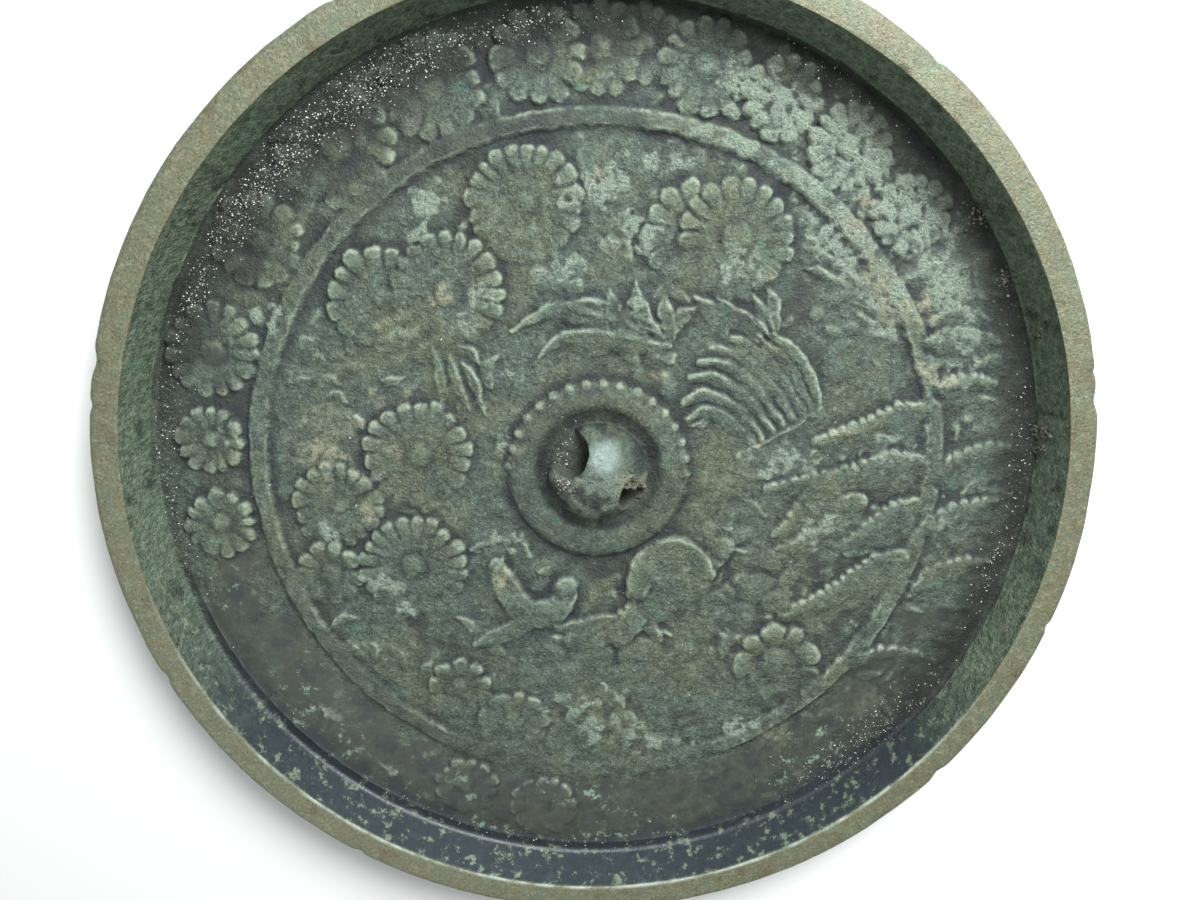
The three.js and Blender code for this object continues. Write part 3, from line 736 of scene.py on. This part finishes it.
def mark_casting(mesh, relief, crust, earth, bare):
    """Keeps on each point, from 0 to 1, the marks that the material reads, and gives their names."""
    x, y, z = points_of(mesh).T
    marks = {}
    reach = np.hypot(x, y)
    bearing = np.degrees(np.arctan2(y, x)) % 360
    back = z > 1
    floor = (reach < WALL_FOOT) & back & (reach > KNOB_RADIUS)
    stand_out = read_map(relief - blur(relief, 0.8) + 0.3 * (relief - blur(relief, 2.4)), x, y)
    arris = read_map(relief - blur(relief, 0.3), x, y)
    on_ring = hump(reach - BAND_START + RING_WIDTH / 2, 1.3, 4)
    on_ring *= np.interp(bearing, [0, 15, 30, 70, 95, 360], [0.8, 0.5, 0, 0, 0.8, 0.8])
    on_seat = hump(reach - 8.6, 2, 4)
    # On the knob: the dull lower half, a pale painted highlight on the crown and earth in the right mouth of
    # the hole
    on_knob = (reach <= KNOB_RADIUS) * back
    low_dome = on_knob * ramp(2, -0.5, y)
    crown_highlight = hump(np.hypot(x - CROWN_HIGHLIGHT[0], y - CROWN_HIGHLIGHT[1]), 1.9, 4) * (z > 3)
    in_mouth = hump(np.hypot(x - EARTHY_MOUTH[0], y - EARTHY_MOUTH[1]), 1.5, 4) * back
    raised = floor * ramp(0.05, 0.4, stand_out) * (1 - on_ring) * (1 - 0.7 * on_seat)
    marks["raised"] = np.maximum(raised, 0.5 * low_dome)
    # Dark in hollows and creases: partly grime, partly painted shade
    hollow = np.maximum(ramp(-0.04, -0.25, stand_out), ramp(-0.03, -0.12, arris))
    hollow = floor * hollow * (reach < WALL_FOOT - 1.6)
    pits = 0.1 + 0.8 * ramp(-0.2, 1, read_map(grain(0.35, 51), x, y))
    pitted = on_knob * (1 - crown_highlight) * pits
    marks["hollow"] = np.maximum(hollow, np.maximum(pitted, 0.35 * on_seat * ramp(30, 120, bearing)))
    marks["crust"] = np.maximum(floor * read_map(crust, x, y), 0.25 * low_dome)
    marks["earth"] = np.maximum(floor * read_map(earth, x, y), in_mouth)
    # The ring's top and its lower left get the dark bare coats; at the top this is painted shade from the rim
    dull_and_shaded_ring = on_ring * np.interp(bearing, [60, 85, 120, 150, 200, 215, 250, 270],
                                    [0, 1, 1, 0, 0, 0.8, 0.8, 0])
    # The low side is bare smooth metal: band, corner and wall
    low_side = np.interp(bearing, [170, 195, 215, 305, 330, 350], [0, 0.45, 1, 1, 0.5, 0])
    low_side = ramp(0.35, 0.65, low_side + 0.25 * read_map(grain(1.2, 47), x, y))
    smooth_band = floor * ramp(BAND_START + 0.2, BAND_START + 1, reach) * low_side
    thin_patina_and_shade = floor * np.maximum(read_map(bare, x, y), 0.8 * dull_and_shaded_ring)
    marks["bare"] = np.maximum(thin_patina_and_shade, 0.85 * smooth_band)
    marks["glossy"] = np.interp(bearing, [192, 218, 318, 332], [0, 1, 1, 0])
    marks["flecks"] = smooth_band * ramp(-0.3, 0.9, read_map(grain(2.2, 48), x, y))
    marks["smooth"] = 0.85 * smooth_band
    marks["arris"] = floor * ramp(0.03, 0.12, arris)
    # Near-black in the corner at the wall's foot, widest at the upper left and right, and round the upper
    # side of the knob's foot: partly grime, partly painted shade in the corner and the moat
    width = np.interp(bearing, *np.transpose(CORNER_GRIME_AND_SHADE))
    corner = hump(np.clip(WALL_FOOT - 0.2 - reach, 0, None), width, 3) * (reach < WALL_FOOT + 0.7)
    corner *= np.interp(bearing, [160, 185, 300, 325], [1, 0.3, 0.3, 1])
    moat = hump(reach - KNOB_RADIUS - 0.7, 0.9) * ramp(-6.5, 0.5, y)
    marks["corner"] = np.maximum(corner, 0.9 * moat) * (z < 4) * back
    # What lies well under the knob's dome is the inside of the hole, painted darker as shade
    knob_top = FIELD + MOAT_RISE + (KNOB_RISE - MOAT_RISE) * dome(reach / KNOB_RADIUS)
    marks["hole_shade"] = (reach < KNOB_RADIUS + 0.2) * ramp(-0.3, -0.6, z - knob_top) * back
    marks["crown_highlight"] = crown_highlight
    for name, values in marks.items():
        layer = mesh.attributes.new(name, "FLOAT", "POINT")
        layer.data.foreach_set("value", np.clip(values, 0, 1).astype(np.float32))
    return list(marks)


def linear(hex_colour):
    """An sRGB hex colour as the linear RGBA that shaders use."""
    values = [int(hex_colour[i:i + 2], 16) / 255 for i in (1, 3, 5)]
    return [v / 12.92 if v <= 0.04045 else ((v + 0.055) / 1.055) ** 2.4 for v in values] + [1]


def add(tree, kind, inputs=None, out=0, **settings):
    """Adds a node, sets it up, fills or links its sockets and gives back one of its outputs."""
    node = tree.nodes.new(kind)
    for name, value in settings.items():
        setattr(node, name, value)
    for socket, value in (inputs or {}).items():
        if isinstance(value, bpy.types.NodeSocket):
            tree.links.new(value, node.inputs[socket])
        else:
            node.inputs[socket].default_value = value
    return node.outputs[out]


def new_material(name):
    material = bpy.data.materials.new(name)
    material.use_nodes = True
    return material, material.node_tree, material.node_tree.nodes["Principled BSDF"]


def spread(tree, value, low, high, least=0, most=1):
    """Low to high becomes least to most."""
    return add(tree, "ShaderNodeMapRange", {
        "Value": value, "From Min": low, "From Max": high, "To Min": least, "To Max": most})


def combine(tree, operation, one, other):
    return add(tree, "ShaderNodeMath", {0: one, 1: other}, operation=operation)


def noise(tree, place, size, detail, roughness=0.5):
    """Noise with lumps of about this many millimetres."""
    return add(tree, "ShaderNodeTexNoise", {
        "Vector": place, "Scale": 1 / (size * MM), "Detail": detail, "Roughness": roughness})


def blend(tree, amount, under, over):
    """One colour laid over another."""
    return add(tree, "ShaderNodeMix", {0: amount, 6: under, 7: over}, out=2, data_type="RGBA")


def marked(tree, name):
    """What the points carry under this name."""
    return add(tree, "ShaderNodeAttribute", out="Fac", attribute_name=name)


def bumpy(tree, shader, height, distance, strength=1):
    bump = add(tree, "ShaderNodeBump", {"Height": height, "Strength": strength, "Distance": distance * MM})
    tree.links.new(bump, shader.inputs["Normal"])


# The noises in the patina: name, size in millimetres, detail and roughness.
NOISES = [("broad", 9, 2, 0.55), ("middle", 2.6, 4, 0.55), ("blotch", 1.5, 6, 0.75),
          ("verdigris", 3.4, 5, 0.7), ("fine", 0.8, 4, 0.65), ("speck", 0.28, 3, 0.75)]

# The coats of the patina, each over the ground colour and those before it: its colour, the mark on the
# casting that it lies in, the noise that breaks it up, the noise's values where it starts and is full,
# and its least and greatest cover.
GROUND_COLOUR = "#47534a"
COATS = [
    ("#535945", None, "broad", 0.42, 0.62, 0, 1),
    ("#36423b", None, "middle", 0.5, 0.72, 0, 1),
    ("#667464", None, "fine", 0.52, 0.72, 0, 0.8),
    ("#262c28", None, "fine", 0.45, 0.3, 0, 0.7),
    ("#232a26", None, "blotch", 0.5, 0.38, 0, 0.6),
    ("#7f8e80", None, "blotch", 0.56, 0.68, 0, 0.45),
    ("#7a8771", "raised", "middle", 0.35, 0.6, 0.2, 0.65),
    # The lip is tan to olive brown, the wall green
    ("#66634b", "lip", "middle", 0, 0.01, 0.92, 0.92),
    ("#53492f", "lip", "middle", 0.54, 0.68, 0, 0.6),
    ("#5a6350", "lip", "blotch", 0.45, 0.62, 0, 0.85),
    ("#86876c", "lip", "fine", 0.5, 0.75, 0, 0.55),
    ("#53624f", "wall", "middle", 0, 0.01, 0.8, 0.8),
    ("#72816c", "wall", "fine", 0.42, 0.66, 0, 0.85),
    ("#262e28", "wall", "middle", 0.45, 0.34, 0, 0.7),
    ("#7b7a63", "wall", "blotch", 0.56, 0.64, 0, 0.7),
    ("#839380", "crust", "middle", 0.2, 0.5, 0.75, 0.95),
    ("#a2b09f", "crust", "speck", 0.38, 0.58, 0.1, 0.9),
    ("#96937a", "earth", "fine", 0.35, 0.55, 0.05, 0.8),
    ("#517a69", None, "verdigris", 0.6, 0.72, 0, 0.55),
    # Pits and rubbed grains all over
    ("#1a1f1b", None, "speck", 0.45, 0.3, 0, 0.75),
    ("#99a898", None, "speck", 0.57, 0.74, 0, 0.6),
    # Smooth bare metal on the low side, flecked with crust; the same dark coats lie as painted shade along
    # the band's top and the ring's top
    ("#363932", "bare", "broad", 0.3, 0.5, 0.75, 0.92),
    ("#2b3033", "bare", "middle", 0.5, 0.6, 0, 0.7),
    ("#33393f", "gloss", "blotch", 0.6, 0.54, 0.1, 0.95),
    ("#7f9482", "flecks", "blotch", 0.575, 0.61, 0, 0.8),
    # Grime and painted shade in hollows and corners, rubbed edges, a painted highlight on the knob's top,
    # painted shade inside the cord hole
    ("#1c2124", "hollow", "middle", 0.3, 0.6, 0.6, 0.92),
    ("#9aa793", "arris", "fine", 0.35, 0.6, 0.12, 0.72),
    ("#a6b0a2", "rubbed", "middle", 0.4, 0.6, 0.1, 0.8),
    ("#101210", "corner", "middle", 0.3, 0.6, 0.72, 0.94),
    ("#8fa09a", "crown_highlight", "fine", 0.3, 0.6, 0.5, 0.9),
    ("#3f4139", "hole_shade", "fine", 0.3, 0.6, 0.95, 0.8),
]

# What a coat's full cover adds to the roughness: metal has a soft sheen, crust and grime are chalky.
SHEEN = [("crust", 0.25), ("gloss", -0.2), ("corner", 0.25), ("crown_highlight", -0.14), ("arris", -0.08),
         ("lip", -0.08)]


def patinated_bronze(mark_names):
    """Tin bronze, cast, long buried and cleaned: a thin dark green oxide skin, rubbed on high places.

    The eye gets a dull grey-green that turns olive and tan, a soft broad sheen on ridges, chalky
    pale green crust in patches, near-black grime and painted shade in the corners, a painted
    highlight on the knob's top and, on the low side, smooth dark metal that shines.
    """
    material, tree, shader = new_material("patinated cast tin bronze")
    place = add(tree, "ShaderNodeTexCoord", out="Object")
    noises = {name: noise(tree, place, *values) for name, *values in NOISES}
    marks = {name: marked(tree, name) for name in mark_names}

    def past(value, low, high):
        return spread(tree, value, low * MM, high * MM)

    def both(one, other):
        return combine(tree, "MULTIPLY", one, other)

    def either(one, other):
        return combine(tree, "MAXIMUM", one, other)

    # Lip, wall and the wall's foot lie where their height and distance from the middle say
    height = add(tree, "ShaderNodeSeparateXYZ", {0: place}, out=2)
    level = add(tree, "ShaderNodeVectorMath", {0: place, 1: (1, 1, 0)}, operation="MULTIPLY")
    reach = add(tree, "ShaderNodeVectorMath", {0: level}, out=1, operation="LENGTH")
    lip = either(past(height, RIM_TOP - 0.5, RIM_TOP - 0.15),
                 past(reach, MIRROR_RADIUS - 0.9, MIRROR_RADIUS - 0.6))
    not_lip = both(combine(tree, "SUBTRACT", 1, lip), past(height, FIELD - 0.6, FIELD - 0.4))
    near_wall = both(not_lip, past(reach, WALL_FOOT - 1.7, WALL_FOOT - 1))
    inner_edge = both(past(height, RIM_TOP - 0.35, RIM_TOP - 0.2),
                      past(reach, LIP_INNER + 0.45, LIP_INNER + 0.15))
    marks["lip"] = lip
    marks["wall"] = both(not_lip, past(reach, WALL_FOOT, WALL_FOOT + 0.3))
    marks["gloss"] = both(near_wall, marks["glossy"])
    marks["rubbed"] = both(inner_edge, marks["glossy"])
    marks["flecks"] = either(marks["flecks"], both(marks["gloss"], 0.45))
    marks["corner"] = both(marks["corner"], past(height, FIELD + 2, FIELD + 0.8))
    # The low side and the lip are smooth, and so is the face that it lies on, which was polished
    under = past(height, 0.5, 0.3)
    for smoother, share in [(marks["gloss"], 0.9), (lip, 0.65), (under, 0.7)]:
        marks["smooth"] = either(marks["smooth"], both(smoother, share))

    colour, cover = linear(GROUND_COLOUR), {}
    for hex_colour, mark_name, kind, start, full, least, most in COATS:
        amount = spread(tree, noises[kind], start, full, least, most)
        if mark_name:
            amount = both(amount, marks[mark_name])
            cover[mark_name] = amount
        colour = blend(tree, amount, colour, linear(hex_colour))
    tree.links.new(colour, shader.inputs["Base Color"])

    roughness = spread(tree, noises["fine"], 0.3, 0.7, 0.42, 0.66)
    for name, change in SHEEN:
        roughness = combine(tree, "ADD", roughness, both(cover[name], change))
    tree.links.new(roughness, shader.inputs["Roughness"])
    tree.links.new(spread(tree, cover["crust"], 0, 0.5, 0.22, 0.02), shader.inputs["Metallic"])

    # Cast skin pitted at 0.3 to 1 mm, coarser in the crust
    crumbs = both(cover["crust"], noises["speck"])
    pits = combine(tree, "ADD", noises["fine"], both(noises["speck"], 0.6))
    bumpy(tree, shader, combine(tree, "ADD", pits, crumbs), 0.4, spread(tree, marks["smooth"], 0, 1, 1, 0.12))
    return material


def grain_material(name, dark, pale, roughness):
    """A material for loose grains, each with its own tone between two colours."""
    material, tree, shader = new_material(name)
    tone = marked(tree, "tone")
    tree.links.new(blend(tree, tone, linear(dark), linear(pale)), shader.inputs["Base Color"])
    shader.inputs["Roughness"].default_value = roughness
    return material, tree, shader


def quartz_sand():
    """Quartz sand grains from the ground: glassy, off-white to tan and grey."""
    material, _, shader = grain_material("quartz sand grains", "#3c3b34", "#e6e3d8", 0.35)
    shader.inputs["IOR"].default_value = 1.54
    return material


def dry_earth():
    """Dry earth from the burial in crumbs: matt, brown to grey-green, pitted at 0.2 mm."""
    material, tree, shader = grain_material("dry earth", "#44443a", "#807d69", 0.95)
    pits = noise(tree, add(tree, "ShaderNodeTexCoord", out="Object"), 0.2, 3)
    bumpy(tree, shader, pits, 0.2)
    return material


# Sand caught in the corner of the rim: degrees round, radius, spread in degrees, spread of the
# radius, grains.
SAND_BANDS = [
    (100, 48.6, 6.25, 1, 352), (113, 48.6, 4.375, 1.1, 528), (122, 48.2, 3.75, 1.3, 672),
    (133, 48.2, 3.75, 1.3, 672), (143, 48.3, 3.75, 1.1, 480), (155, 48.9, 4.375, 0.8, 352),
    (172, 49.6, 5.625, 0.9, 224), (186, 49.8, 4.375, 0.8, 144), (2, 49.6, 6.25, 0.9, 176),
    (-14, 49.2, 5, 0.9, 176), (-42, 48.2, 5.625, 1.6, 320), (-52, 48.4, 5, 1.3, 240),
    (60, 49.6, 7.5, 0.8, 96), (-100, 49.8, 18.75, 0.6, 96),
]
# Lumps of earth: place in hundredths of the field's radius, scatter, count, largest radius.
EARTH_LUMPS = [
    (10.5, -3.5, 0.55, 70, 0.32), (12, -8.5, 0.35, 14, 0.3), (-11, -3, 0.7, 40, 0.22),
    (131, 42, 0.35, 70, 0.24), (135, 12, 0.3, 60, 0.24), (135, 6, 0.3, 40, 0.2), (120, 58, 0.7, 60, 0.17),
    (110, 76, 0.9, 80, 0.16), (112, -82, 2.2, 40, 0.22), (-88, 98, 3, 50, 0.2), (-60, 117, 3, 40, 0.2),
    (123, 50, 2, 30, 0.2), (61, -100, 0.8, 16, 0.2),
]
# Loose grains and small clumps in the field: place, scatter, count.
SAND_SPOTS = [
    (-6, 16, 0.7, 20), (-12, 3, 0.8, 60), (-9, 8, 0.8, 30), (-10.5, -2, 0.6, 140), (-27, -46, 0.2, 2),
    (-16, -52, 1.2, 3), (-21, -56, 0.2, 2), (-14, -59, 0.8, 6), (-2, -61, 0.3, 2), (22, -54, 1.2, 3),
    (27, -59, 0.5, 5), (29, -75, 0.3, 2), (-3, -40, 0.4, 2), (8, -40, 0.3, 2), (0, -31, 0.4, 2),
    (-86, 79, 2, 4), (40, -60, 6, 14), (-68, -14, 12, 14), (30, 60, 20, 16), (-20, 20, 25, 18),
    (60, -20, 20, 20),
]
# Least and greatest radius of a sand grain
SAND_SIZES = (0.03, 0.085)
# A mesh takes new icospheres more slowly as it fills, so this many are made at a time.
BATCH = 80


def sand_places(chance):
    for turn, radius, spread_round, scatter, count in SAND_BANDS:
        for _ in range(count):
            angle = radians(turn + spread_round * chance.standard_normal())
            reach = min(radius + scatter * chance.standard_normal(), WALL_FOOT + 0.25)
            yield reach * cos(angle), reach * sin(angle), chance.uniform(*SAND_SIZES)
    for east, north, scatter, count in SAND_SPOTS:
        for _ in range(count):
            x, y = in_field(east, north) + scatter * chance.standard_normal(2)
            if hypot(x, y) < WALL_FOOT:
                yield x, y, chance.uniform(*SAND_SIZES)


def lump_places(chance):
    for east, north, scatter, count, largest in EARTH_LUMPS:
        for _ in range(count):
            x, y = in_field(east, north) + scatter * chance.standard_normal(2)
            # Some lie on the wall's cove, none beyond it
            if hypot(x, y) < WALL_FOOT + 1.4:
                yield x, y, chance.uniform(0.3, 1) * largest


def grains_on(piece, name, places, chance):
    """Grains half bedded in the piece where each place and size says."""
    surface = BVHTree.FromObject(piece, bpy.context.evaluated_depsgraph_get())
    whole = bmesh.new()
    whole.verts.layers.float.new("tone")
    for first in range(0, len(places), BATCH):
        batch = bmesh.new()
        tone = batch.verts.layers.float.new("tone")
        for x, y, size in places[first:first + BATCH]:
            hit, normal, _, _ = surface.ray_cast(Vector((x * MM, y * MM, 0.02)), Vector((0, 0, -1)))
            turn = Euler(chance.uniform(0, 6, 3)).to_matrix().to_4x4()
            stretch = Matrix.Diagonal((*chance.uniform(0.7, 1.3, 3), 1))
            bed = Matrix.Translation(hit + normal * size * MM * 0.3)
            made = bmesh.ops.create_icosphere(batch, subdivisions=1, radius=size * MM,
                                              matrix=bed @ turn @ stretch)
            shade = chance.random() ** 3
            for vert in made["verts"]:
                vert[tone] = shade
        part = bpy.data.meshes.new("batch")
        batch.to_mesh(part)
        batch.free()
        whole.from_mesh(part)
        bpy.data.meshes.remove(part)
    return mesh_object(whole, name)


relief = carve()
# Wear has softened every edge, and crust stands a little proud of the skin
relief = 0.8 * blur(relief, 0.09) + 0.2 * blur(relief, 0.3)
crust = spots(CRUST_SPOTS, 0.35, 11)
earth = spots(EARTH_SPOTS, 0.3, 15)
bare = spots(BARE_AND_SHADE_SPOTS, 0.22, 19)
relief = relief + crust * (0.08 + 0.07 * grain(0.22, 23)) * (REACH < WALL_FOOT - 0.5)

mirror = casting(relief)
mark_names = mark_casting(mirror.data, relief, crust, earth, bare)
mirror.data.materials.clear()
mirror.data.materials.append(patinated_bronze(mark_names))
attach(mirror, "root")
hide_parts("mirror")

chance = np.random.default_rng(7)
for name, places, material in [
        ("sand_grains", sand_places, quartz_sand), ("earth_lumps", lump_places, dry_earth)]:
    grains = grains_on(mirror, name, list(places(chance)), chance)
    grains.data.materials.append(material())
    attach(grains, "root")


# Soft round lamps, aimed at the middle: degrees round and up, metres away, metres across, watts.
LAMPS = [("key", 64, 43, 0.27, 0.15, 1.9), ("fill", 235, 42, 0.8, 0.6, 3)]
DAYLIGHT = (0.95, 0.985, 1)
FLOOR_REACH = 1.5


def studio():
    """A plain pale floor and room, a soft light from the upper right and a weaker one from the lower left."""
    bm = bmesh.new()
    bmesh.ops.create_grid(bm, x_segments=1, y_segments=1, size=FLOOR_REACH)
    floor = mesh_object(bm, "floor")
    material, _, shader = new_material("matt pale card")
    shader.inputs["Base Color"].default_value = linear("#d6d6d3")
    shader.inputs["Roughness"].default_value = 0.8
    floor.data.materials.append(material)

    for name, turn, height, distance, size, energy in LAMPS:
        lamp = bpy.data.lights.new(name, "AREA")
        lamp.shape = "DISK"
        lamp.size = size
        lamp.energy = energy
        lamp.color = DAYLIGHT
        made = put(name, lamp)
        turn, height = radians(turn), radians(height)
        made.location = distance * Vector((cos(turn) * cos(height), sin(turn) * cos(height), sin(height)))
        made.rotation_euler = (-made.location).to_track_quat("-Z", "Y").to_euler()

    world = bpy.data.worlds.new("pale room")
    world.use_nodes = True
    background = world.node_tree.nodes["Background"]
    background.inputs["Color"].default_value = linear("#eef1f2")
    background.inputs["Strength"].default_value = 0.27
    bpy.context.scene.world = world
    bpy.context.scene.view_settings.view_transform = "Standard"


# Where the camera was, in metres from the middle of the face, and how it is turned, in degrees, as the
# outlines of rim, ring and seat in the photograph show
CAMERA_PLACE = (-0.001837, 0.026817, 0.103248)
CAMERA_TURN_Y, CAMERA_TURN_X = -1.153, -13.529
# Its focal length and the width of its film, in millimetres
FOCAL_LENGTH, FILM_WIDTH = 27, 36


def camera():
    """Looks down on the back at the photograph's own angle; the frame cuts the rim at top and bottom."""
    lens = bpy.data.cameras.new("camera")
    lens.lens = FOCAL_LENGTH
    lens.sensor_width = FILM_WIDTH
    lens.clip_start = 0.01
    made = put("camera", lens)
    turn = Matrix.Rotation(radians(CAMERA_TURN_Y), 4, "Y") @ Matrix.Rotation(radians(CAMERA_TURN_X), 4, "X")
    made.matrix_world = Matrix.Translation(CAMERA_PLACE) @ turn
    bpy.context.scene.camera = made


studio()
camera()
